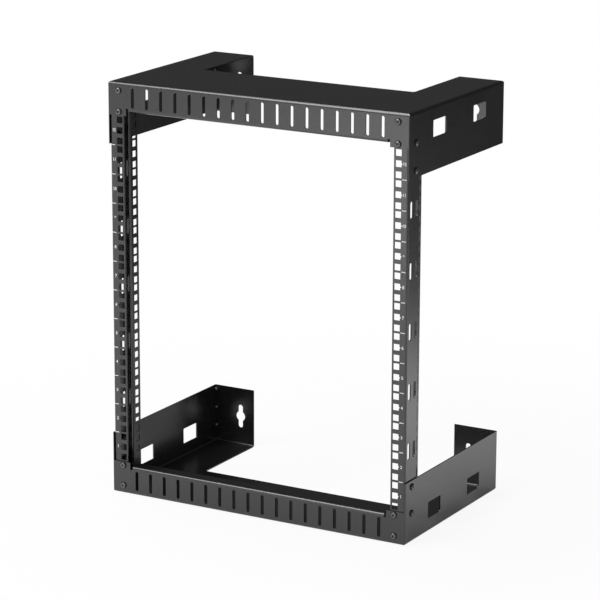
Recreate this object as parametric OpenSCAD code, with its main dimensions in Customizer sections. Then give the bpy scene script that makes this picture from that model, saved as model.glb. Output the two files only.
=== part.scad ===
// Wall mount open frame rack.
// Two folded sheet brackets carry a pair of perforated posts that hold the equipment.
// Origin: middle of the footprint, on the surface it stands on. +X is right, +Y is
// towards the wall and +Z is up. The brackets are drawn with their front plane at
// y = 0 and the outer face of their plate at z = 0, and moved into place at the end.

/* [Rack opening] */
// Number of rack units between the two brackets
units = 12; // [6:1:18]
// Height of one rack unit
unit_h = 44.45; // [42:0.05:48]
// Clear width between the two posts
opening_w = 451; // [400:1:500]
// Lowest hole of a unit above the unit's lower edge
hole_first = 6.35; // [5.5:0.05:8]
// Distance from one hole of a unit to the next
hole_pitch = 15.875; // [14:0.025:16]
// Side of a square equipment hole
square_hole = 9.8; // [8:0.1:10.5]
// Depth of the notch that marks the middle hole of each unit
notch_depth = 1.6; // [0.5:0.1:2]

/* [Bracket sheet] */
// Thickness of the bracket sheet
bracket_t = 2; // [1.5:0.1:3]
// Inside radius of every bend in a bracket
bracket_bend = 2.5; // [1:0.1:3]
// Radius on the welded upright corners, ground smooth
corner_r = 1.8; // [0.5:0.1:2]
// Depth of a bracket from its front plane to the wall
bracket_depth = 300; // [240:1:400]
// Depth of the full-width part of a bracket's plate
strip_depth = 150; // [100:1:180]
// Width of the two arms that run back to the wall
arm_w = 72; // [60:0.5:90]
// Radius of the two inside corners between strip and arms
arm_corner_r = 4; // [2:0.5:10]
// Distance from the nearest rack unit to the plate's outer face
plate_drop = 50.8; // [48:0.1:60]
// Height of the side walls and of the wall tabs
wall_h = 94; // [91:0.5:120]

/* [Bracket front] */
// Width of the ear at each end of the front
ear_w = 31; // [28:0.5:40]
// Gap between an ear and the nearest rack unit
ear_gap = 0.8; // [0.2:0.1:2]
// Height of the slotted beam between the ears
beam_h = 44.4; // [40:0.1:46]
// Depth of the flange folded back along the beam
return_d = 20; // [12:0.5:30]
// Width of the relief notch between an ear and that flange
relief_w = 4; // [2:0.5:6]
// Depth of the relief notch below the bend
relief_d = 1; // [0.5:0.1:3]
// Distance from one beam slot to the next
beam_slot_pitch = 24.5; // [20:0.5:32]
// Width of a beam slot
beam_slot_w = 5.2; // [3:0.1:8]
// Length of a beam slot, end to end
beam_slot_l = 30.6; // [20:0.1:32]
// Least distance from the last beam slot's middle to the beam's end
beam_slot_end = 6; // [5:0.5:10]

/* [Bracket sides] */
// Length of a window in a side wall
window_l = 40; // [20:1:60]
// Height of a window
window_h = 25; // [15:0.5:40]
// Corner radius of a window
window_r = 1.5; // [0.5:0.5:5]
// Middle of a window above the plate's outer face
window_up = 33.5; // [28:0.5:45]
// Front plane to the near edge of the first window
window_front = 72; // [64:0.5:80]
// Wall face to the near edge of the last window
window_rear = 60.5; // [40:0.5:70]
// Lower side screw above the plate's outer face
side_screw_low = 44.45; // [30:0.05:50]
// Upper side screw below the free edge of the side wall
side_screw_edge = 9.5; // [9:0.1:16]

/* [Wall tabs] */
// Distance between the left and right keyholes
keyhole_span = 406.4; // [395:0.1:415]
// Middle of a keyhole above the plate's outer face
keyhole_up = 48; // [40:0.5:60]
// Length of a keyhole, end to end
keyhole_l = 38; // [28:0.5:50]
// Width of a keyhole's slot
keyhole_w = 8.6; // [5:0.1:10]
// Diameter of the round middle that passes a screw head
keyhole_d = 16.6; // [12:0.1:20]
// Radius of a tack weld bead
weld_r = 3.6; // [2:0.1:4]
// Middle of the lowest bead above the plate's outer face
weld_low = 28; // [20:0.5:40]
// Middle of the highest bead below the free edge
weld_high = 6.5; // [4:0.5:12]

/* [Posts] */
// Thickness of the post sheet
post_t = 1.5; // [1.2:0.1:2]
// Inside radius of every bend in a post
post_bend = 1.5; // [1:0.1:1.6]
// Width of a post's front flange
flange_w = 23.5; // [23:0.5:32]
// Middle of the square holes from the flange's inner edge
hole_inset = 7.06; // [7:0.02:9]
// Depth of a post's outer web
web_d = 36.5; // [34:0.5:45]
// Step inwards from the web to the rear lip
joggle = 9; // [8:0.5:9.5]
// Depth of the whole post
post_d = 57; // [54:0.5:70]
// Middle of the lip's square holes from the lip's rear edge
lip_hole_setback = 8.5; // [6:0.1:10]
// Rack units from one pair of web slots to the next
web_slot_every = 2; // [1:1:4]
// Distance between the two slots of a pair
web_slot_pitch = 16; // [12:0.5:18]
// Width of a web slot
web_slot_w = 7.5; // [5:0.1:9]
// Length of a web slot, end to end
web_slot_l = 25; // [15:0.5:30]
// Clearance from a post's end to the bend of the bracket
post_end_gap = 0.3; // [0.1:0.1:2]

/* [Screws and nuts] */
// Outer diameter of the screw thread
screw_d = 6; // [5:0.1:6]
// Length of a screw under its head
screw_l = 12; // [11:0.5:13]
// Diameter of a screw head
head_d = 10.5; // [9:0.1:12]
// Height of a screw head
head_h = 3.2; // [2.6:0.1:4]
// Height of the straight rim of a screw head
head_rim = 0.9; // [0.5:0.1:1.5]
// Width across the cross recess
recess_span = 5.2; // [4:0.1:6]
// Width of one arm of the cross recess
recess_arm = 1.3; // [0.8:0.1:1.8]
// Depth of the cross recess
recess_depth = 1.9; // [1:0.1:2.2]
// Clearance of a screw hole around the thread
screw_clear = 0.3; // [0.2:0.05:0.5]
// Clearance of a nut's bore around the thread
thread_clear = 0.05; // [0.03:0.01:0.1]
// Width across the flats of a nut
nut_flats = 10; // [8:0.5:10]
// Height of a nut with its flange
nut_h = 6; // [5:0.5:6.5]
// Diameter of a nut's flange
nut_flange_d = 14; // [12:0.1:14]
// Height of a nut's flange at its edge
nut_flange_h = 1; // [0.8:0.1:1.5]
// Height of the cone from the flange to the flats
nut_cone_h = 1.2; // [0.5:0.1:2]

/* [Hidden] */
$fn = 64;
cut = 1;
rack_black = [0.16, 0.16, 0.17];
screw_black = [0.10, 0.10, 0.11];
nut_black = [0.12, 0.12, 0.13];

bay_h = units * unit_h;
total_h = bay_h + 2 * plate_drop;
bracket_outer = bracket_bend + bracket_t;
wall_in_x = opening_w / 2 + flange_w;
wall_out_x = wall_in_x + bracket_t;
arm_in_x = wall_out_x - arm_w;
ear_in_x = wall_out_x - ear_w;
ear_h = plate_drop - ear_gap;
beam_half = ear_in_x - relief_w;
beam_slot_n = floor(2 * (beam_half - beam_slot_end) / beam_slot_pitch) + 1;
hole_x = opening_w / 2 + hole_inset;
front_y = -(bracket_depth - head_h) / 2;

post_z = bracket_outer + post_end_gap;
post_l = total_h - 2 * post_z;
web_mid = bracket_t + web_d / 2;
lip_hole_y = bracket_t + post_d - lip_hole_setback;
lip_out_x = wall_in_x - joggle;
web_slots = [for (u = [web_slot_every:web_slot_every:units - 1]) plate_drop + u * unit_h];
hole_levels = [for (u = [0:units - 1], h = [0:2]) plate_drop + u * unit_h + hole_first + h * hole_pitch];
front_screw_levels = [plate_drop - hole_first, plate_drop - hole_first - 2 * hole_pitch];
side_screw_levels = [side_screw_low, wall_h - side_screw_edge];
screw_hole_d = screw_d + 2 * screw_clear;
head_cap = head_h - head_rim;
head_sphere_r = (pow(head_d / 2, 2) + pow(head_cap, 2)) / (2 * head_cap);

// One place for a screw and its nut: name, side of the rack, end of the rack, number
places = [
    for (end = ["bottom", "top"], side = ["left", "right"], i = [0, 1])
        [str(end, "_", side, "_", i + 1), side == "left" ? -1 : 1, end, i]
];

// Moves the drawing frame to the part's own origin
module in_place() {
    translate([0, front_y, 0]) children();
}

// Repeats the children at the top of the rack, upside down
module at_top() {
    translate([0, 0, total_h]) mirror([0, 0, 1]) children();
}

module at_end(end) {
    if (end == "top") at_top() children();
    else children();
}

// Slot with round ends, upright, around the origin
module slot_2d(width, length) {
    straight = length - width;
    square([width, straight], center = true);
    for (s = [-1, 1]) translate([0, s * straight / 2]) circle(d = width);
}

// Rectangle with rounded corners around the origin
module round_rect_2d(width, height, r) {
    square([width, height - 2 * r], center = true);
    square([width - 2 * r, height], center = true);
    for (sx = [-1, 1], sy = [-1, 1])
        translate([sx * (width / 2 - r), sy * (height / 2 - r)]) circle(r = r);
}

// Rectangle standing on the X axis, with its two lower corners rounded as a bend leaves them
module tray_profile_2d(width, height, r) {
    translate([-width / 2, r]) square([width, height - r]);
    translate([-width / 2 + r, 0]) square([width - 2 * r, r]);
    for (s = [-1, 1]) translate([s * (width / 2 - r), r]) circle(r = r);
}

// Profile of a folded sheet: straight flats joined by right-angle bends to the left (1) or right (-1)
module folded_2d(flats, turns, t, r, i = 0) {
    square([flats[i], t]);
    if (i < len(turns)) translate([flats[i], 0]) {
        left = turns[i] > 0;
        translate([0, left ? t + r : -r]) mirror([0, left ? 1 : 0]) intersection() {
            difference() {
                circle(r = r + t);
                circle(r = r);
            }
            square(r + t);
        }
        translate(left ? [t + r, t + r] : [r, -r]) rotate(turns[i] * 90)
            folded_2d(flats, turns, t, r, i + 1);
    }
}

// Extrudes a profile drawn in Y and Z along X, centred
module along_x(length) {
    rotate([90, 0, 90]) linear_extrude(length, center = true) children();
}

// Extrudes a profile drawn in X and Z along Y, from near to far
module along_y(near, far) {
    translate([0, far, 0]) rotate([90, 0, 0]) linear_extrude(far - near) children();
}

// Block with its four lower edges rounded as bends leave them, centred in X and Y
module bent_block(width, depth, height, bend_r) {
    intersection() {
        along_y(-depth / 2, depth / 2) tray_profile_2d(width, height, bend_r);
        along_x(width) tray_profile_2d(depth, height, bend_r);
    }
}

// Plate, front, side walls and rear wall as one tray, before it is cut out
module bracket_tray() {
    width = 2 * wall_out_x;
    inner_w = 2 * wall_in_x;
    inner_d = bracket_depth - 2 * bracket_t;
    translate([0, bracket_depth / 2, 0]) difference() {
        intersection() {
            bent_block(width, bracket_depth, wall_h, bracket_outer);
            linear_extrude(wall_h) round_rect_2d(width, bracket_depth, corner_r);
        }
        translate([0, 0, bracket_t]) bent_block(inner_w, inner_d, wall_h, bracket_bend);
    }
}

// Gap between the arms, open to the wall
module arm_gap() {
    gap_w = 2 * arm_in_x;
    gap_d = bracket_depth - strip_depth;
    translate([0, strip_depth + gap_d, -cut]) linear_extrude(wall_h + 2 * cut)
        round_rect_2d(gap_w, 2 * gap_d, arm_corner_r);
}

// What is cut from the front: all above the ears, and the beam's top between them
module front_cuts() {
    near = -cut;
    far = bracket_t + cut;
    relief_z = beam_h - bracket_outer - relief_d;
    along_y(near, far) translate([-wall_in_x, ear_h]) square([2 * wall_in_x, wall_h]);
    along_y(near, far) translate([-ear_in_x, relief_z]) square([2 * ear_in_x, wall_h]);
}

// Beam edge and the flange folded back from it
module beam_return() {
    rise = beam_h - bracket_outer;
    back = return_d - bracket_outer;
    along_x(2 * beam_half) translate([0, bracket_outer]) rotate(90) mirror([0, 1])
        folded_2d([rise - bracket_outer, back], [1], bracket_t, bracket_bend);
}

module beam_slots() {
    for (i = [0:beam_slot_n - 1])
        translate([(i - (beam_slot_n - 1) / 2) * beam_slot_pitch, 0, 0])
            along_y(-cut, bracket_t + cut) translate([0, beam_h / 2])
                slot_2d(beam_slot_w, beam_slot_l);
}

module side_windows() {
    for (y = [window_front + window_l / 2, bracket_depth - window_rear - window_l / 2])
        along_x(2 * wall_out_x + 2 * cut) translate([y, window_up])
            round_rect_2d(window_l, window_h, window_r);
}

module keyholes() {
    for (s = [-1, 1])
        along_y(bracket_depth - bracket_t - cut, bracket_depth + cut)
            translate([s * keyhole_span / 2, keyhole_up]) {
                slot_2d(keyhole_w, keyhole_l);
                circle(d = keyhole_d);
            }
}

module front_screw_holes(near, far) {
    for (s = [-1, 1], z = front_screw_levels)
        along_y(near, far) translate([s * hole_x, z]) circle(d = screw_hole_d);
}

module side_screw_holes(near, far) {
    for (s = [-1, 1], z = side_screw_levels)
        translate([s * (near + far) / 2, 0, 0]) along_x(far - near)
            translate([web_mid, z]) circle(d = screw_hole_d);
}

// Beads in the corners between the side walls and the wall tabs
module tack_welds() {
    inset = weld_r - 0.9 * bracket_t;
    span = wall_h - weld_high - weld_low;
    for (s = [-1, 1], i = [0:2])
        translate([s * (wall_in_x - inset), bracket_depth - bracket_t - inset, weld_low + i * span / 2])
            sphere(r = weld_r);
}

module bracket() {
    color(rack_black) {
        difference() {
            union() {
                difference() {
                    bracket_tray();
                    front_cuts();
                }
                beam_return();
            }
            arm_gap();
            beam_slots();
            side_windows();
            keyholes();
            front_screw_holes(-cut, bracket_t + cut);
            side_screw_holes(wall_in_x - cut, wall_out_x + cut);
        }
        tack_welds();
    }
}

// Plan section of the right post: flange, web, joggle and lip
module post_section_2d() {
    bend = post_bend + post_t;
    flats = [
        flange_w - bend,
        web_d - 2 * bend,
        joggle - bend - post_bend,
        post_d - web_d - post_bend,
    ];
    translate([opening_w / 2, bracket_t]) folded_2d(flats, [1, 1, -1], post_t, post_bend);
}

module square_holes() {
    for (z = hole_levels) {
        translate([hole_x, bracket_t + post_t / 2, z])
            cube([square_hole, post_t + 2 * cut, square_hole], center = true);
        translate([lip_out_x - post_t / 2, lip_hole_y, z])
            cube([post_t + 2 * cut, square_hole, square_hole], center = true);
    }
}

// Pointed notches in the outer sides of the middle holes
module unit_notches() {
    side = notch_depth * sqrt(2);
    for (u = [0:units - 1])
        translate([
            hole_x + square_hole / 2,
            bracket_t + post_t / 2,
            plate_drop + u * unit_h + hole_first + hole_pitch,
        ]) rotate([0, 45, 0]) cube([side, post_t + 2 * cut, side], center = true);
}

module web_slot_pairs() {
    for (z = web_slots, s = [-1, 1])
        translate([wall_in_x, 0, 0]) along_x(4 * post_t)
            translate([web_mid + s * web_slot_pitch / 2, z]) slot_2d(web_slot_w, web_slot_l);
}

module post_screw_holes() {
    near = wall_in_x - post_t - cut;
    front_screw_holes(bracket_t - cut, bracket_t + post_t + cut);
    side_screw_holes(near, wall_in_x + cut);
}

module right_side_post() {
    color(rack_black) difference() {
        translate([0, 0, post_z]) linear_extrude(post_l) post_section_2d();
        square_holes();
        unit_notches();
        web_slot_pairs();
        post_screw_holes();
        at_top() post_screw_holes();
    }
}

// Screw along +Z, with the underside of its head at the origin and the head below
module screw() {
    color(screw_black) difference() {
        union() {
            cylinder(h = screw_l, d = screw_d);
            rotate([180, 0, 0]) rotate_extrude() intersection() {
                square([head_d / 2, head_h]);
                translate([0, head_h - head_sphere_r]) circle(r = head_sphere_r);
            }
        }
        for (a = [0, 90]) rotate(a)
            translate([-recess_span / 2, -recess_arm / 2, -head_h - cut])
                cube([recess_span, recess_arm, recess_depth + cut]);
    }
}

// Flanged hexagon nut along +Z, flange down on the origin
module nut() {
    color(nut_black) difference() {
        union() {
            cylinder(h = nut_h, d = nut_flats / cos(30), $fn = 6);
            cylinder(h = nut_flange_h, d = nut_flange_d);
            translate([0, 0, nut_flange_h])
                cylinder(h = nut_cone_h, d1 = nut_flange_d, d2 = nut_flats);
        }
        translate([0, 0, -cut]) cylinder(h = nut_h + 2 * cut, d = screw_d + 2 * thread_clear);
    }
}

// Turns +Z to point at the wall
module facing_back() {
    rotate([-90, 0, 0]) children();
}

// Turns +Z to point from one side of the rack to its middle
module facing_in(side) {
    rotate([0, -90 * side, 0]) children();
}

module bottom_bracket() {
    bracket();
}

module top_bracket() {
    at_top() bracket();
}

module left_post() {
    mirror([1, 0, 0]) right_side_post();
}

module right_post() {
    right_side_post();
}

module front_screw(p) {
    at_end(p[2]) translate([p[1] * hole_x, 0, front_screw_levels[p[3]]]) facing_back() screw();
}

module side_screw(p) {
    at_end(p[2]) translate([p[1] * wall_out_x, web_mid, side_screw_levels[p[3]]])
        facing_in(p[1]) screw();
}

module front_nut(p) {
    at_end(p[2]) translate([p[1] * hole_x, bracket_t + post_t, front_screw_levels[p[3]]])
        facing_back() nut();
}

module side_nut(p) {
    at_end(p[2]) translate([p[1] * (wall_in_x - post_t), web_mid, side_screw_levels[p[3]]])
        facing_in(p[1]) nut();
}

in_place() bottom_bracket();
in_place() top_bracket();
in_place() left_post();
in_place() right_post();
for (p = places) {
    in_place() front_screw(p);
    in_place() side_screw(p);
    in_place() front_nut(p);
    in_place() side_nut(p);
}
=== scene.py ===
"""Looks of the wall mount open frame rack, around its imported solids.

Metres, in the frame of the part: the origin is in the middle of the footprint, +X is
right, +Y goes back to the wall and +Z is up.
"""
import math

import bmesh
import bpy
from mathutils import Matrix, Vector


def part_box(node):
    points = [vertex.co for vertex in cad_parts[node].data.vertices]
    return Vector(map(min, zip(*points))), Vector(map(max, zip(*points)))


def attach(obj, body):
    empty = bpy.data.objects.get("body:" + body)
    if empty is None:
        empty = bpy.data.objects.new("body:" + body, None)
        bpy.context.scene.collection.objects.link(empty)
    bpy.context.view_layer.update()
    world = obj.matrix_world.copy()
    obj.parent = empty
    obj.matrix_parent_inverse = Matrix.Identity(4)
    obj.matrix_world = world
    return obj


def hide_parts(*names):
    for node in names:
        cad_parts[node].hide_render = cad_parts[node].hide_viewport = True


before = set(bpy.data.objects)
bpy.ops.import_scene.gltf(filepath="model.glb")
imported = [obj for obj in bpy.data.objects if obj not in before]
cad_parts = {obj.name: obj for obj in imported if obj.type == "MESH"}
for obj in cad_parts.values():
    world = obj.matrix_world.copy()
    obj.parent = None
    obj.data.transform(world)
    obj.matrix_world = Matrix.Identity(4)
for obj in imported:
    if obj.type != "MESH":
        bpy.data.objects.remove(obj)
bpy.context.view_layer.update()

X, Y = 0, 1
LEFT, RIGHT = -1, 1
MM = 0.001
TINY = 0.001 * MM
WHITE = (1.0, 1.0, 1.0, 1.0)

# Units of the rack
UNITS = 12
UNIT_HEIGHT = 44.45 * MM
FIRST_UNIT_Z = 50.8 * MM

# Print on the posts: how far the ink stands proud of the coat and reaches into it
INK_PROUD = 0.05 * MM
INK_DEEP = 0.03 * MM
INK_THICKNESS = INK_PROUD + INK_DEEP
INK_SPREAD = 0.2 * MM
LINE_THICKNESS = 1.3 * MM
LINE_REACH = {LEFT: (240.7 * MM, 247.5 * MM), RIGHT: (238.9 * MM, 245.7 * MM)}
DIGIT_X = 242.5 * MM
DIGIT_HEIGHT = 4.7 * MM
DIGIT_SHARE_OF_SIZE = 0.73
DIGIT_SPACING = 0.9

# Screws, as big as the solids that they replace
SCREW_LENGTH = 12 * MM
SCREW_DIAMETER = 6 * MM
SCREW_POINT = 0.7 * MM
HEAD_DIAMETER = 10.5 * MM
HEAD_HEIGHT = 3.2 * MM
HEAD_RIM = 0.9 * MM
HEAD_RIM_DROP = 0.15 * MM
HEAD_EDGE = 0.25 * MM
DOME_ROWS = 10
CROSS_TURNS = (math.radians(20), math.radians(110))
CROSS_SIZE = (6.4 * MM, 1.5 * MM, 2.2 * MM)
CROSS_TAPER = (0.45, 0.7, 1.0)
CROSS_PAST_HEAD = 0.15 * MM
# Painted highlight: a lighter patch on the middle of each screw head's dome, which leaves its rim
# looking shaded
PAINTED_HIGHLIGHT_RADIUS = 3.8 * MM
PAINTED_HIGHLIGHT_LOWEST = 1 * MM
PAINTED_HIGHLIGHT_DEPTH = 0.1 * MM

# Thread: one ridge whose foot is sunk into the core
THREAD_PITCH = 1.0 * MM
THREAD_START = 0.6 * MM
THREAD_CORE = SCREW_DIAMETER / 2 - 0.6 * THREAD_PITCH
THREAD_FOOT = THREAD_CORE - 0.1 * MM
THREAD_CREST = SCREW_DIAMETER / 2 - 0.02 * MM
THREAD_HALF = 0.48 * THREAD_PITCH
THREAD_FLAT = 0.07 * THREAD_PITCH
STEPS_A_TURN = 20

# Nuts, as big as the solids that they replace
NUT_HEIGHT = 6 * MM
NUT_FLATS = 10 * MM
NUT_BORE = SCREW_DIAMETER / 2 + 0.05 * MM
NUT_HEXAGON_START = 0.2 * MM
FLANGE_RADIUS = 7.0 * MM
FLANGE_HEIGHT = 1.0 * MM
FLANGE_EDGE = 0.2 * MM
CONE_HEIGHT = 1.2 * MM
CONE_INSET = 0.05 * MM
CHAMFER_START = 0.6 * MM
CHAMFER_TAPER = 1.1 * MM
COUNTERSINK_DEPTH = 0.6 * MM
COUNTERSINK_PAST_TOP = 0.3 * MM
COUNTERSINK_RADII = (NUT_BORE - 0.1 * MM, NUT_BORE + 0.8 * MM)

ROUND_SIDES = 48
BORE_SIDES = 40
CREASE_DEGREES = 32

# Finishes: scales of their patterns, in cells a metre, and grey levels where 1 is white.
# A roughness is given as its least value and what each pattern adds to it.
COOL = -0.01
BUMP_STRENGTH = 0.4

# Powder coat, with fine pale specks where its speck pattern is high
COAT_GRAIN = 1100
COAT_RIPPLE = 420
COAT_CLOUD = 9
COAT_SPECK = 1900
COAT_DARK = 0.0025
COAT_LIGHT = 0.006
COAT_TONES = (0.35, 0.65)
SPECK_GREY = 0.030
SPECK_EDGE = (0.56, 0.66)
SPECK_SHARE = 0.45
COAT_SHINE = 0.85
COAT_ROUGHNESS, COAT_CLOUD_ADDS, COAT_GRAIN_ADDS = 0.10, 0.06, 0.20
COAT_RELIEF = 0.14 * MM
RIPPLE_IN_RELIEF = 1.2

# Black zinc plate of the screws and nuts
ZINC_GRAIN = 1800
ZINC_CLOUD = 140
ZINC_DARK = 0.010
ZINC_LIGHT = 0.022
# Painted highlight: the lighter grey on the middle of each screw head's dome
ZINC_PAINTED_HIGHLIGHT = 0.16
ZINC_METAL = 0.6
ZINC_ROUGHNESS, ZINC_GRAIN_ADDS = 0.20, 0.10
ZINC_RELIEF = 0.02 * MM

# White ink, worn thin in places
INK_WRINKLE = 1100
INK_WEAR = 1500
INK_WEAR_EDGE = (0.30, 0.50)
INK_THIN_GREY = 0.55
INK_FULL_GREY = 0.82
INK_ROUGHNESS, INK_WRINKLE_ADDS = 0.42, 0.12
INK_RELIEF = 0.08 * MM

# Sockets of a Mix node that mixes colours
MIX_MASK, MIX_A, MIX_B, MIX_RESULT = 0, 6, 7, 2

# Levels of the world: on what is lit, and in the gloss in front and behind
WORLD_AMBIENT = 0.35
WORLD_FRONT = 0.9
WORLD_BEHIND = 0.07
WORLD_TURN = (0.3, -0.5)

# Floor: its own glow, to the camera near the rack and in the gloss, and where that grows
FLOOR_HALF = 30.0
FLOOR_WHITE = 0.94
FLOOR_GLOW_NEAR = 0.91
FLOOR_GLOW_IN_GLOSS = 0.2
FLOOR_CLEARS = (0.45, 1.1)

# Painted reflection: level of the floor in the gloss at each depth, in metres behind the rack's
# middle,
PAINTED_FLOOR_REFLECTION = (
    (-2.5, 1.36), (-0.6, 1.30), (-0.2, 1.18), (0.0, 1.20), (0.2, 1.67), (0.4, 2.36), (0.6, 2.24),
    (0.95, 1.24), (1.3, 0.74), (1.45, 0.66), (1.65, 0.43), (1.85, 0.40), (2.1, 0.50),
)
# times what this gives at each place to the right
PAINTED_REFLECTION_TO_RIGHT = (
    (0.80, 1.00), (1.05, 0.78), (1.20, 0.72), (1.30, 1.65), (1.48, 1.80), (1.75, 0.40),
)
# Painted shadow of the rack in the floor's gloss: a band that slants back to the right from the
# rack is dimmer, twice over far behind it
SHADOW_BAND_SLANT = 0.57
SHADOW_BAND_ACROSS = (
    (-0.60, 1.00), (-0.40, 0.31), (0.00, 0.31), (0.15, 0.66), (0.25, 0.80), (0.32, 1.00),
)
SHADOW_BAND_STARTS = (-0.15, 0.15)
SHADOW_BAND_DOUBLES = (0.6, 1.3)

# Soft boxes: place, the point that each faces, width, height and watts
RACK_MIDDLE = (0, 0, 0.3)
SOFT_BOXES = {
    "key": ((-1.6, -2.2, 3.6), RACK_MIDDLE, 2.4, 2.4, 105),
    "top": ((-0.85, 0.18, 3.2), RACK_MIDDLE, 1.3, 0.7, 24),
    "panel": ((-0.42, -1.55, 0.25), (0.235, -0.15, 0.6), 0.45, 0.4, 0.7),
}

# Camera of the photograph
CAMERA_PLACE = (2.0981, -3.6950, 1.4157)
CAMERA_SWING = math.radians(29.693)
CAMERA_TILT = math.radians(14.699)
CAMERA_ROLL = math.radians(0.158)
CAMERA_SENSOR_MM = 36.0
CAMERA_REACH = 100.0
FOCAL_PIXELS = 2924.4
IMAGE_PIXELS = 600


class Socket:
    """A shader value that takes part in Python expressions."""

    def __init__(self, owner, link):
        self.owner = owner
        self.link = link

    def math(self, operation, *values):
        return self.owner.node("ShaderNodeMath", {"operation": operation}, dict(enumerate(values)))

    def __add__(self, other):
        return self.math("ADD", self, other)

    def __radd__(self, other):
        return self.math("ADD", other, self)

    def __sub__(self, other):
        return self.math("SUBTRACT", self, other)

    def __rsub__(self, other):
        return self.math("SUBTRACT", other, self)

    def __mul__(self, other):
        return self.math("MULTIPLY", self, other)

    def __rmul__(self, other):
        return self.math("MULTIPLY", other, self)


class NodeTree:
    """Adds nodes to a material's or the world's tree."""

    def __init__(self, tree):
        self.tree = tree

    def feed(self, socket, value):
        if isinstance(value, Socket):
            self.tree.links.new(value.link, socket)
        else:
            socket.default_value = value

    def node(self, kind, settings=None, inputs=None, output=0):
        """Adds a node, sets it up, feeds its sockets and returns one of its outputs."""
        made = self.tree.nodes.new(kind)
        for name, value in (settings or {}).items():
            setattr(made, name, value)
        for socket, value in (inputs or {}).items():
            self.feed(made.inputs[socket], value)
        return Socket(self, made.outputs[output])

    def place(self):
        """Object coordinates, which are metres in the frame of the part."""
        return self.node("ShaderNodeTexCoord", output="Object")

    def axis(self, vector, name):
        return self.node("ShaderNodeSeparateXYZ", {}, {0: vector}, name)

    def ray_is(self, kind):
        return self.node("ShaderNodeLightPath", output=f"Is {kind} Ray")

    def noise(self, scale, detail=2.0, roughness=0.5):
        inputs = {"Vector": self.place(), "Scale": scale, "Detail": detail, "Roughness": roughness}
        return self.node("ShaderNodeTexNoise", {"noise_dimensions": "3D"}, inputs, "Fac")

    def between(self, value, low, high):
        """Brings a value that runs from low to high to the range from 0 to 1."""
        inputs = {"Value": value, "From Min": low, "From Max": high}
        return self.node("ShaderNodeMapRange", {"clamp": True}, inputs)

    def ramp(self, value, steps):
        """Follows (value, level) steps in a straight line from one to the next."""
        level = steps[0][1]
        for (low, before), (high, after) in zip(steps, steps[1:]):
            level = level + (after - before) * self.between(value, low, high)
        return level

    def scaled(self, colour, factor):
        inputs = {0: colour, "Scale": factor}
        return self.node("ShaderNodeVectorMath", {"operation": "SCALE"}, inputs)

    def mix(self, mask, without, within):
        """Colour that is the first outside the mask and the second inside it."""
        inputs = {MIX_MASK: mask, MIX_A: without, MIX_B: within}
        return self.node("ShaderNodeMix", {"data_type": "RGBA"}, inputs, MIX_RESULT)

    def bump(self, height, distance, strength):
        inputs = {"Height": height, "Distance": distance, "Strength": strength}
        return self.node("ShaderNodeBump", {}, inputs)


class Shader(NodeTree):
    """A new material whose surface is one Principled BSDF."""

    def __init__(self, name, **constants):
        self.material = bpy.data.materials.new(name)
        self.material.use_nodes = True
        super().__init__(self.material.node_tree)
        self.surface = self.tree.nodes["Principled BSDF"]
        self.output = self.tree.nodes["Material Output"]
        self.paint(**constants)

    def paint(self, **values):
        """Sets the surface's sockets, or feeds them with what changes over it."""
        for socket, value in values.items():
            self.feed(self.surface.inputs[socket.replace("_", " ")], value)
        return self.material


def grey(level, warmth=0.0):
    """A near-neutral colour, a little blue when warmth is below zero."""
    return (level * (1 + warmth), level, level * (1 - warmth), 1.0)


def powder_coat():
    """Black powder coat, satin, with the fine grain of a textured paint."""
    shader = Shader("black_powder_coat", Specular_IOR_Level=COAT_SHINE)
    grain = shader.noise(COAT_GRAIN)
    ripple = shader.noise(COAT_RIPPLE, detail=1.0)
    cloud = shader.noise(COAT_CLOUD)
    speck = shader.between(shader.noise(COAT_SPECK, detail=1.0), *SPECK_EDGE)
    tone = shader.between(0.5 * cloud + 0.5 * grain, *COAT_TONES)
    colour = shader.mix(tone, grey(COAT_DARK), grey(COAT_LIGHT, COOL))
    colour = shader.mix(SPECK_SHARE * speck, colour, grey(SPECK_GREY, COOL))
    return shader.paint(
        Base_Color=colour,
        Roughness=COAT_ROUGHNESS + COAT_CLOUD_ADDS * cloud + COAT_GRAIN_ADDS * grain,
        Normal=shader.bump(grain + RIPPLE_IN_RELIEF * ripple, COAT_RELIEF, BUMP_STRENGTH),
    )


def black_zinc(name, painted_highlight=False):
    """Black zinc plate, with a lighter painted highlight where the piece's own mask is set."""
    shader = Shader(name, Metallic=ZINC_METAL)
    grain = shader.noise(ZINC_GRAIN)
    cloud = shader.noise(ZINC_CLOUD, detail=1.0)
    colour = shader.mix(cloud, grey(ZINC_DARK), grey(ZINC_LIGHT, 2 * COOL))
    if painted_highlight:
        # Painted highlight: a lighter grey on the middle of the screw heads' domes
        mask = shader.node("ShaderNodeAttribute", {"attribute_name": "painted_highlight"}, output="Fac")
        colour = shader.mix(mask, colour, grey(ZINC_PAINTED_HIGHLIGHT, COOL))
    return shader.paint(
        Base_Color=colour,
        Roughness=ZINC_ROUGHNESS + ZINC_GRAIN_ADDS * grain,
        Normal=shader.bump(grain, ZINC_RELIEF, BUMP_STRENGTH),
    )


def white_ink():
    """Screen-printed white, thin enough for the coat's texture to show."""
    shader = Shader("white_ink")
    wrinkle = shader.noise(INK_WRINKLE, detail=3.0, roughness=0.55)
    full = shader.between(shader.noise(INK_WEAR), *INK_WEAR_EDGE)
    return shader.paint(
        Base_Color=shader.mix(full, grey(INK_THIN_GREY), grey(INK_FULL_GREY)),
        Roughness=INK_ROUGHNESS + INK_WRINKLE_ADDS * wrinkle,
        Normal=shader.bump(wrinkle, INK_RELIEF, BUMP_STRENGTH),
    )


def link(thing):
    bpy.context.collection.objects.link(thing)


def evaluated_mesh(thing):
    """A new mesh of an object as its modifiers or its text make it."""
    bpy.context.view_layer.update()
    evaluated = thing.evaluated_get(bpy.context.evaluated_depsgraph_get())
    return bpy.data.meshes.new_from_object(evaluated)


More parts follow.
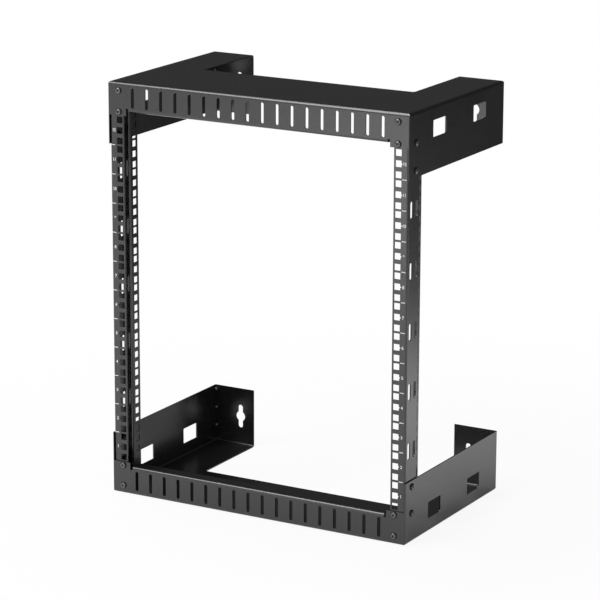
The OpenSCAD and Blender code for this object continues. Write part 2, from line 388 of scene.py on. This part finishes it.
def new_piece(name, mesh, material):
    piece = bpy.data.objects.new(name, mesh)
    link(piece)
    mesh.materials.clear()
    mesh.materials.append(material)
    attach(piece, "root")
    return piece


def mesh_from(bm, name):
    mesh = bpy.data.meshes.new(name)
    bmesh.ops.recalc_face_normals(bm, faces=bm.faces)
    bm.to_mesh(mesh)
    bm.free()
    return mesh


def boolean(mesh, cutter, operation):
    """Combines two closed meshes, neither of which crosses itself, into a new mesh."""
    target = bpy.data.objects.new("target", mesh)
    other = bpy.data.objects.new("cutter", cutter)
    for thing in (target, other):
        link(thing)
    modifier = target.modifiers.new("combine", "BOOLEAN")
    modifier.object = other
    modifier.operation = operation
    modifier.solver = "EXACT"
    result = evaluated_mesh(target)
    bpy.data.objects.remove(target)
    bpy.data.objects.remove(other)
    return result


def lathe(points):
    """Turns an outline of (radius, height) points, which starts on Z, round Z."""
    bm = bmesh.new()
    corners = [bm.verts.new((radius, 0, height)) for radius, height in points]
    edges = [bm.edges.new(pair) for pair in zip(corners, corners[1:])]
    bmesh.ops.spin(
        bm, geom=corners + edges, axis=(0, 0, 1), cent=(0, 0, 0),
        angle=2 * math.pi, steps=ROUND_SIDES, use_merge=True, use_duplicate=False,
    )
    bmesh.ops.remove_doubles(bm, verts=bm.verts, dist=TINY)
    return mesh_from(bm, "lathe")


def prism(sides, radius, low, high, top_radius=None):
    """Upright prism, or a cone's frustum where its top has a radius of its own."""
    bm = bmesh.new()
    bmesh.ops.create_cone(
        bm, cap_ends=True, segments=sides, radius1=radius,
        radius2=radius if top_radius is None else top_radius,
        depth=high - low, matrix=Matrix.Translation((0, 0, (low + high) / 2)),
    )
    return mesh_from(bm, "prism")


def cross_arm(turn):
    """One of the two tapered arms of the punch that presses the cross into a head."""
    bm = bmesh.new()
    arm = bmesh.ops.create_cube(bm, size=1.0)["verts"]
    bmesh.ops.scale(bm, vec=CROSS_SIZE, verts=arm)
    foot = [vertex for vertex in arm if vertex.co.z > 0]
    bmesh.ops.scale(bm, vec=CROSS_TAPER, verts=foot)
    bmesh.ops.rotate(bm, matrix=Matrix.Rotation(turn, 3, "Z"), verts=arm)
    middle = CROSS_SIZE[2] / 2 - HEAD_HEIGHT - CROSS_PAST_HEAD
    bmesh.ops.translate(bm, vec=(0, 0, middle), verts=arm)
    return mesh_from(bm, "cross_arm")


def in_painted_highlight(place, sphere):
    """True on the middle of a head's dome, of the given radius, and not in its cross: the place of
    the painted highlight.
    """
    out = math.hypot(place.x, place.y)
    if out > PAINTED_HIGHLIGHT_RADIUS or place.z > -PAINTED_HIGHLIGHT_LOWEST:
        return False
    dome = sphere - HEAD_HEIGHT - math.sqrt(sphere ** 2 - out ** 2)
    return place.z < dome + PAINTED_HIGHLIGHT_DEPTH


def mark_painted_highlight(mesh, sphere):
    """Writes the mask of the painted highlight: the middle of each head's dome is painted lighter,
    so that its rim looks shaded.
    """
    mask = mesh.attributes.new("painted_highlight", "FLOAT", "POINT")
    for vertex, value in zip(mesh.vertices, mask.data):
        value.value = float(in_painted_highlight(vertex.co, sphere))


def add_thread(bm, length):
    """Winds one closed ridge round the shank."""
    turns = int((length - THREAD_START) / THREAD_PITCH) - 1
    outline = (
        (THREAD_FOOT, -THREAD_HALF), (THREAD_CREST, -THREAD_FLAT),
        (THREAD_CREST, THREAD_FLAT), (THREAD_FOOT, THREAD_HALF),
    )
    lowest = THREAD_START + THREAD_HALF
    face = bm.faces.new([bm.verts.new((out, 0, lowest + up)) for out, up in outline])
    before = set(bm.faces)
    bmesh.ops.spin(
        bm, geom=[face], axis=(0, 0, 1), cent=(0, 0, 0),
        dvec=(0, 0, THREAD_PITCH / STEPS_A_TURN),
        angle=2 * math.pi * turns, steps=STEPS_A_TURN * turns,
    )
    ridge = [made for made in bm.faces if made not in before] + [face]
    bmesh.ops.recalc_face_normals(bm, faces=ridge)


def screw_mesh(length):
    """Pan head screw along +Z, with the underside of its head at the origin."""
    widest = HEAD_DIAMETER / 2
    cap = HEAD_HEIGHT - HEAD_RIM
    sphere = (widest ** 2 + cap ** 2) / (2 * cap)
    reach = math.asin((widest - HEAD_EDGE) / sphere)
    dome = []
    for row in range(DOME_ROWS + 1):
        angle = reach * row / DOME_ROWS
        dome.append((sphere * math.sin(angle), -HEAD_HEIGHT + sphere * (1 - math.cos(angle))))
    rim = [
        (widest, HEAD_RIM_DROP - HEAD_RIM), (widest, -HEAD_EDGE), (widest - HEAD_EDGE, 0),
    ]
    shank_end = length - SCREW_POINT
    shank = [
        (THREAD_CORE, 0), (THREAD_CORE, shank_end),
        (THREAD_CORE - SCREW_POINT / 2, length), (0, length),
    ]
    blank = lathe(dome + rim + shank)
    for turn in CROSS_TURNS:
        blank = boolean(blank, cross_arm(turn), "DIFFERENCE")
    bm = bmesh.new()
    bm.from_mesh(blank)
    add_thread(bm, shank_end)
    mesh = bpy.data.meshes.new("screw")
    bm.to_mesh(mesh)
    bm.free()
    mark_painted_highlight(mesh, sphere)
    return mesh


def nut_mesh(height):
    """Flanged hexagon nut along +Z, with its flange down on the origin."""
    corner = NUT_FLATS / 2 / math.cos(math.pi / 6)
    hexagon = prism(6, corner, NUT_HEXAGON_START, height)
    widest = corner + CHAMFER_START
    taper = prism(ROUND_SIDES, widest, 0, height, widest - CHAMFER_TAPER)
    hexagon = boolean(hexagon, taper, "INTERSECT")
    shoulder = FLANGE_HEIGHT + CONE_HEIGHT
    skirt = lathe([
        (0, 0), (FLANGE_RADIUS - FLANGE_EDGE, 0), (FLANGE_RADIUS, FLANGE_EDGE),
        (FLANGE_RADIUS, FLANGE_HEIGHT - FLANGE_EDGE), (FLANGE_RADIUS - FLANGE_EDGE, FLANGE_HEIGHT),
        (NUT_FLATS / 2 - CONE_INSET, shoulder), (0, shoulder),
    ])
    body = boolean(hexagon, skirt, "UNION")
    body = boolean(body, prism(BORE_SIDES, NUT_BORE, -MM, height + MM), "DIFFERENCE")
    low, high = height - COUNTERSINK_DEPTH, height + COUNTERSINK_PAST_TOP
    countersink = prism(BORE_SIDES, COUNTERSINK_RADII[0], low, high, COUNTERSINK_RADII[1])
    return boolean(body, countersink, "DIFFERENCE")


def seat_on(node, axis, length):
    """Matrix that lays a fastener, modelled up Z, along an axis.

    Its tip comes where the solid has it, and its head outside.
    """
    inwards = -1 if axis == X and "right" in node else 1
    low, high = (Vector(corner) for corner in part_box(node))
    seat = (low + high) / 2
    seat[axis] = (high if inwards > 0 else low)[axis] - inwards * length
    direction = Vector((0, 0, 0))
    direction[axis] = inwards
    turn = Vector((0, 0, 1)).rotation_difference(direction).to_matrix().to_4x4()
    return Matrix.Translation(seat) @ turn


def seat_fasteners(make, length, kinds, material):
    """Replaces every plain screw, or every plain nut, with its detailed form."""
    master = make(length)
    master.shade_smooth()
    master.set_sharp_from_angle(angle=math.radians(CREASE_DEGREES))
    for kind, axis in kinds.items():
        for node in sorted(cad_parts):
            if not node.startswith(kind):
                continue
            mesh = master.copy()
            mesh.transform(seat_on(node, axis, length))
            piece = new_piece("detailed_" + node, mesh, material)
            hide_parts(node)


def side_name(side):
    return "left" if side == LEFT else "right"


def on_print_face(across, unit):
    """The middle of a print on a post's front face, at a height counted in units."""
    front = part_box("left_post")[0][1]
    return (across, front + (INK_DEEP - INK_PROUD) / 2, FIRST_UNIT_Z + unit * UNIT_HEIGHT)


def printed_lines(side, ink):
    """A short white line at each boundary between two units."""
    inner, outer = LINE_REACH[side]
    bm = bmesh.new()
    for unit in range(1, UNITS):
        bar = bmesh.ops.create_cube(bm, size=1.0)["verts"]
        bmesh.ops.scale(bm, vec=(outer - inner, INK_THICKNESS, LINE_THICKNESS), verts=bar)
        centre = on_print_face(side * (inner + outer) / 2, unit)
        bmesh.ops.translate(bm, vec=centre, verts=bar)
    name = side_name(side) + "_unit_lines"
    new_piece(name, mesh_from(bm, name), ink)


def printed_numbers(side, ink):
    """The unit numbers, 1 at the bottom, in the middle of each unit."""
    joined = bmesh.new()
    for unit in range(UNITS):
        digits = bpy.data.curves.new("digits", "FONT")
        digits.body = str(unit + 1)
        digits.align_x = "CENTER"
        digits.align_y = "CENTER"
        digits.size = DIGIT_HEIGHT / DIGIT_SHARE_OF_SIZE
        digits.extrude = INK_THICKNESS / 2
        digits.offset = INK_SPREAD
        digits.space_character = DIGIT_SPACING
        holder = bpy.data.objects.new("digits", digits)
        link(holder)
        mesh = evaluated_mesh(holder)
        bpy.data.objects.remove(holder)
        bpy.data.curves.remove(digits)
        upright = Matrix.Rotation(math.pi / 2, 4, "X")
        place = Matrix.Translation(on_print_face(side * DIGIT_X, unit + 0.5))
        mesh.transform(place @ upright)
        joined.from_mesh(mesh)
        bpy.data.meshes.remove(mesh)
    name = side_name(side) + "_unit_numbers"
    bmesh.ops.remove_doubles(joined, verts=joined.verts, dist=TINY)
    new_piece(name, mesh_from(joined, name), ink)


def paint_solids(material):
    for name in ("top_bracket", "bottom_bracket", "left_post", "right_post"):
        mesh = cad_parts[name].data
        mesh.materials.clear()
        mesh.materials.append(material)


def painted_floor_reflection(shader, place):
    """Level of the floor as the paint mirrors it.

    It is a painted reflection, bright round the rack and darker far behind as if lamps stood
    in front, and dimmer in a painted shadow band that slants back from the rack.
    """
    right = shader.axis(place, "X")
    depth = shader.axis(place, "Y")
    level = shader.ramp(depth, PAINTED_FLOOR_REFLECTION) * shader.ramp(right, PAINTED_REFLECTION_TO_RIGHT)
    shadow_band = shader.ramp(right - SHADOW_BAND_SLANT * depth, SHADOW_BAND_ACROSS)
    shadow_band = shadow_band * (1 - shader.between(depth, *SHADOW_BAND_DOUBLES) * (1 - shadow_band))
    behind = shader.between(depth, *SHADOW_BAND_STARTS)
    return level * (1 - behind + behind * shadow_band)


def pale_stage():
    """Floor that is white to the camera, with the rack's soft shadow kept near it."""
    shader = Shader("pale_floor", Roughness=0.9, Specular_IOR_Level=0.1)
    place = shader.place()
    distance = shader.node("ShaderNodeVectorMath", {"operation": "LENGTH"}, {0: place}, "Value")
    clear = shader.between(distance, *FLOOR_CLEARS)
    seen = shader.ray_is("Camera")
    mirrored = shader.ray_is("Glossy") + shader.ray_is("Transmission")
    # Painted reflection: the floor's level in the gloss, with the rack's painted shadow band
    in_gloss = shader.scaled(WHITE[:3], painted_floor_reflection(shader, place))
    colour = shader.mix(mirrored, WHITE, in_gloss)
    glow = shader.node("ShaderNodeEmission", {}, {"Color": colour, "Strength": 1.0})
    glow_seen = seen * (FLOOR_GLOW_NEAR + (1 - FLOOR_GLOW_NEAR) * clear)
    share = glow_seen + FLOOR_GLOW_IN_GLOSS * mirrored
    shader.paint(Base_Color=shader.scaled(colour, FLOOR_WHITE))
    lit = Socket(shader, shader.surface.outputs[0])
    blend = shader.node("ShaderNodeMixShader", {}, {0: share, 1: lit, 2: glow})
    shader.feed(shader.output.inputs["Surface"], blend)
    bm = bmesh.new()
    bmesh.ops.create_grid(bm, x_segments=1, y_segments=1, size=FLOOR_HALF)
    floor = bpy.data.objects.new("floor", mesh_from(bm, "floor"))
    link(floor)
    floor.data.materials.append(shader.material)


def surround():
    """White to the camera, dim on what is lit, and brighter in front than behind in the gloss."""
    world = bpy.data.worlds.new("surround")
    bpy.context.scene.world = world
    world.use_nodes = True
    tree = NodeTree(world.node_tree)
    heading = tree.node("ShaderNodeTexCoord", output="Generated")
    front = tree.between(tree.axis(heading, "Y"), *WORLD_TURN)
    seen = tree.ray_is("Camera") + tree.ray_is("Transmission")
    mirrored = tree.ray_is("Glossy")
    in_gloss = WORLD_BEHIND + (WORLD_FRONT - WORLD_BEHIND) * front
    on_others = WORLD_AMBIENT * (1 - seen - mirrored)
    background = world.node_tree.nodes["Background"]
    tree.feed(background.inputs["Color"], WHITE)
    tree.feed(background.inputs["Strength"], seen + in_gloss * mirrored + on_others)


def soft_box(name, place, target, width, height, watts):
    light = bpy.data.lights.new(name, "AREA")
    light.shape = "RECTANGLE"
    light.size = width
    light.size_y = height
    light.energy = watts
    holder = bpy.data.objects.new(name, light)
    link(holder)
    holder.location = place
    aim = Vector(target) - Vector(place)
    holder.rotation_euler = aim.to_track_quat("-Z", "Y").to_euler()


def camera():
    """The photograph's view: a long lens, to the right of the rack and a little above."""
    data = bpy.data.cameras.new("camera")
    data.sensor_width = CAMERA_SENSOR_MM
    data.lens = FOCAL_PIXELS * CAMERA_SENSOR_MM / IMAGE_PIXELS
    data.clip_end = CAMERA_REACH
    holder = bpy.data.objects.new("camera", data)
    link(holder)
    swing = Matrix.Rotation(CAMERA_SWING, 4, "Z")
    tilt = Matrix.Rotation(math.pi / 2 - CAMERA_TILT, 4, "X")
    roll = Matrix.Rotation(CAMERA_ROLL, 4, "Z")
    holder.matrix_world = Matrix.Translation(CAMERA_PLACE) @ swing @ tilt @ roll
    bpy.context.scene.camera = holder


paint_solids(powder_coat())
# Screws, with a painted highlight on the middle of their heads
seat_fasteners(
    screw_mesh, SCREW_LENGTH, {"front_screw": Y, "side_screw": X},
    black_zinc("black_zinc_screw", painted_highlight=True),
)
seat_fasteners(
    nut_mesh, NUT_HEIGHT, {"front_nut": Y, "side_nut": X},
    black_zinc("black_zinc_nut"),
)
ink = white_ink()
for side in (LEFT, RIGHT):
    printed_lines(side, ink)
    printed_numbers(side, ink)

pale_stage()
surround()
for name, setting in SOFT_BOXES.items():
    soft_box(name, *setting)
camera()
bpy.context.scene.view_settings.view_transform = "Standard"
